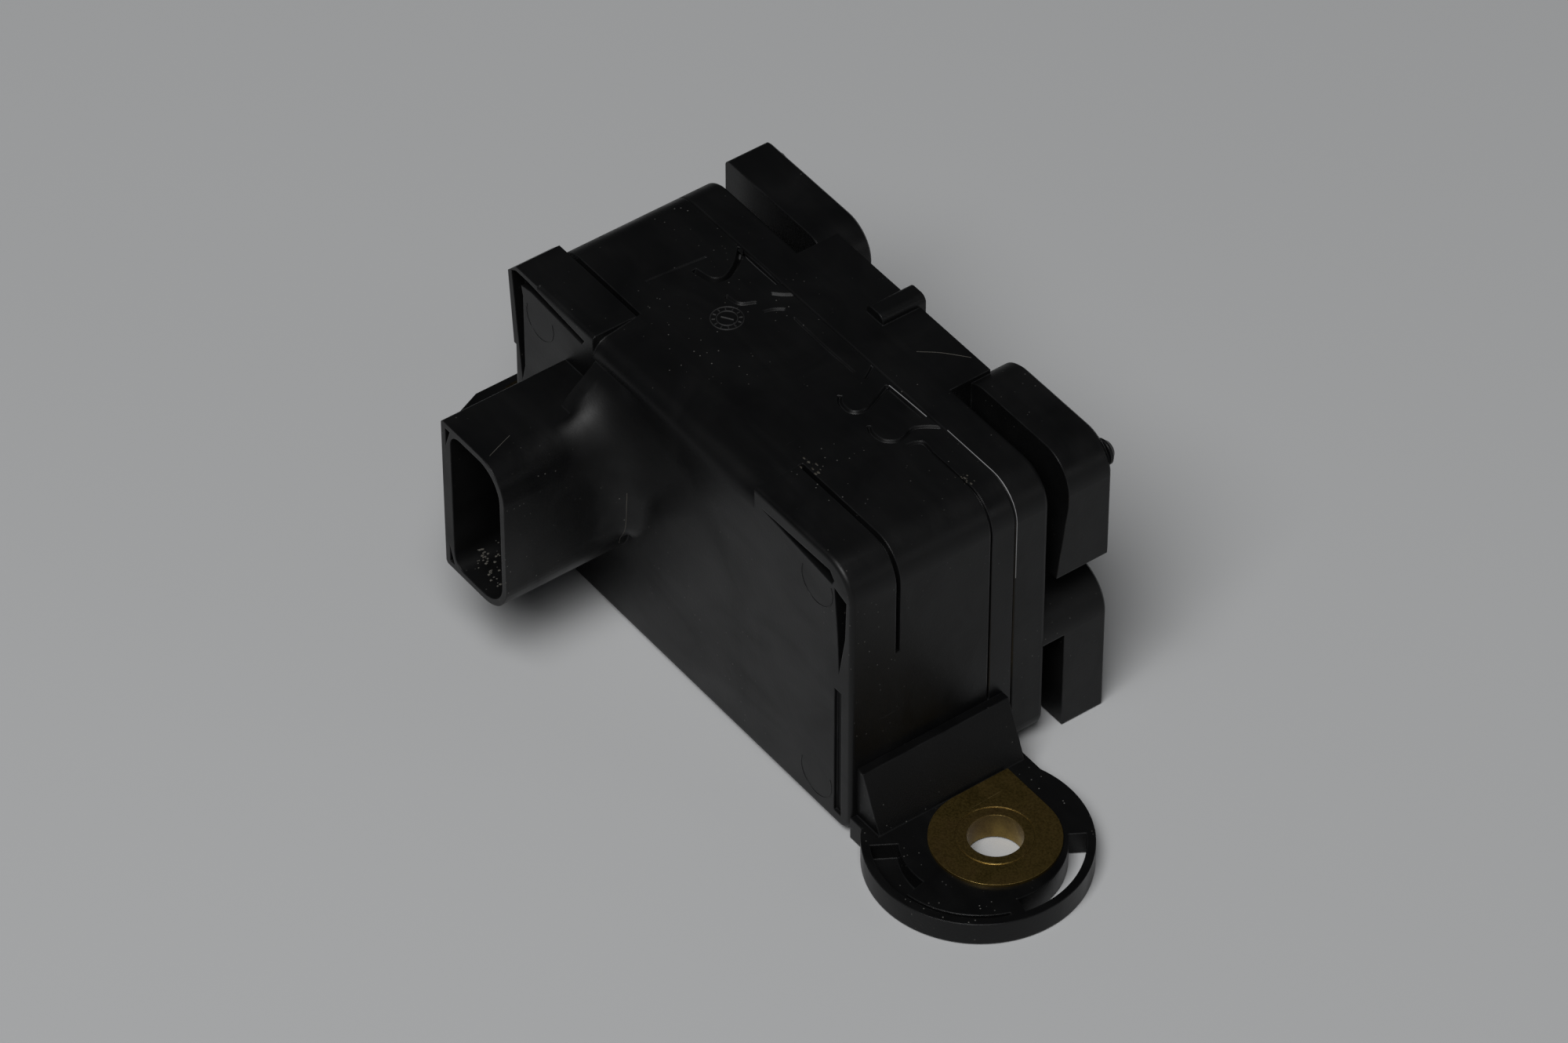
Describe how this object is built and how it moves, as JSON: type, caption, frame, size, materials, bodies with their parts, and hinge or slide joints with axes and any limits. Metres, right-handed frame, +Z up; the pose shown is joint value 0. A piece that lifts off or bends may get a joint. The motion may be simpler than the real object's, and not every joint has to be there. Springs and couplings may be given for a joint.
{
  "type": "vehicle acceleration sensor",
  "caption": "Black plastic acceleration sensor for a vehicle's stability control, with an upright box, a side connector shroud and brass-bushed fixing ears.",
  "frame": {"origin": "midway between the axes of the two fixing holes, on the mounting plane under the ears", "axes": "+X along the line of the two holes towards the near ear, -Y out of the connector shroud, +Z up from the mounting plane"},
  "size_m": [0.1055, 0.0534, 0.0409],
  "materials": {
    "black_plastic": "fine-grained, slightly worn",
    "brass": "dull, lightly tarnished",
    "contact_metal": "tinned",
    "board_laminate": "green laminate",
    "damper_rubber": "soft",
    "screw_steel": "zinc plated",
    "element_can": "satin",
    "chip_plastic": "moulded",
    "choke_ceramic": "matt",
    "capacitor_can": "satin",
    "capacitor_ceramic": "matt",
    "resistor_ceramic": "matt",
    "shield_steel": "tinned sheet",
    "seal_rubber": "soft",
    "membrane": "fine woven"
  },
  "bodies": {
    "root": {"front_housing": "black_plastic", "ear_near": "black_plastic", "ear_far": "black_plastic", "back_housing": "black_plastic", "bush_near": "brass", "bush_far": "brass", "contact_1": "contact_metal", "contact_2": "contact_metal", "contact_3": "contact_metal", "contact_4": "contact_metal", "circuit_board": "board_laminate", "damper_1": "damper_rubber", "damper_2": "damper_rubber", "damper_3": "damper_rubber", "damper_4": "damper_rubber", "board_screws": "screw_steel", "yaw_element": "element_can", "acceleration_element": "chip_plastic", "controller": "chip_plastic", "transceiver": "chip_plastic", "regulator": "chip_plastic", "timing_crystal": "element_can", "line_choke": "choke_ceramic", "buffer_capacitor": "capacitor_can", "chip_capacitors": "capacitor_ceramic", "chip_resistors": "resistor_ceramic", "shield_can": "shield_steel", "seal_ring": "seal_rubber", "vent_membrane": "membrane"}
  },
  "joints": []
}
